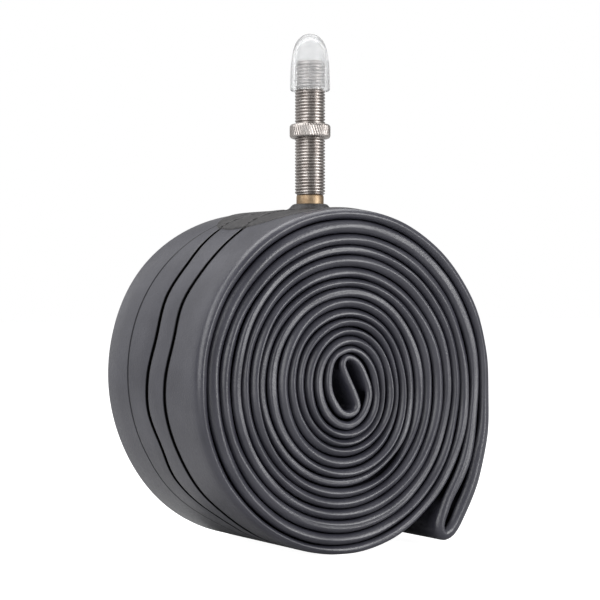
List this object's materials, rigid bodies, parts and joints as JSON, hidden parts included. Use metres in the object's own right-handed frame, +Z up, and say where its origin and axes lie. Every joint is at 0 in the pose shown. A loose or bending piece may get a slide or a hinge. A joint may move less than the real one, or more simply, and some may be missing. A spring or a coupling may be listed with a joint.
{
  "type": "bicycle inner tube",
  "caption": "Bicycle inner tube pressed flat and rolled into a tight double spiral, with a threaded metal car-type valve, knurled rim nut, clear cap and spring-loaded valve core.",
  "frame": {"origin": "on the table, under the middle of the roll", "axes": "+Z up along the valve stem, +Y along the roll's axis away from the side the spiral is seen from, +X towards the flap"},
  "size_m": [0.0848, 0.049, 0.1301],
  "materials": {
    "butyl": "satin, lightly dusted with talc",
    "nickel": "satin nickel plate",
    "clear_plastic": "clear moulded plastic",
    "core_brass": "turned",
    "spring_steel": "bright wire",
    "seal_rubber": "matte"
  },
  "bodies": {
    "tube": {"tube_body": "butyl", "valve_base": "butyl", "valve_stem": "nickel", "core_plug": "core_brass", "core_barrel": "core_brass", "barrel_gasket": "seal_rubber", "core_spring": "spring_steel"},
    "rim_nut": {"rim_nut": "nickel"},
    "valve_cap": {"valve_cap": "clear_plastic"},
    "core_pin": {"core_pin": "core_brass", "pin_seal": "seal_rubber", "pin_seal_cup": "core_brass"}
  },
  "joints": [
    {"name": "cap_unscrew", "type": "slide", "parent": "tube", "child": "valve_cap", "axis": [0, 0, 1], "range_m": [0, 0.02]},
    {"name": "nut_travel", "type": "slide", "parent": "tube", "child": "rim_nut", "axis": [0, 0, 1], "range_m": [-0.014, 0.008]},
    {"name": "pin_press", "type": "slide", "parent": "tube", "child": "core_pin", "axis": [0, 0, -1], "range_m": [0, 0.0012], "stiffness_N_per_m": 400, "springref_m": -0.002, "deforming": ["core_spring"]}
  ]
}
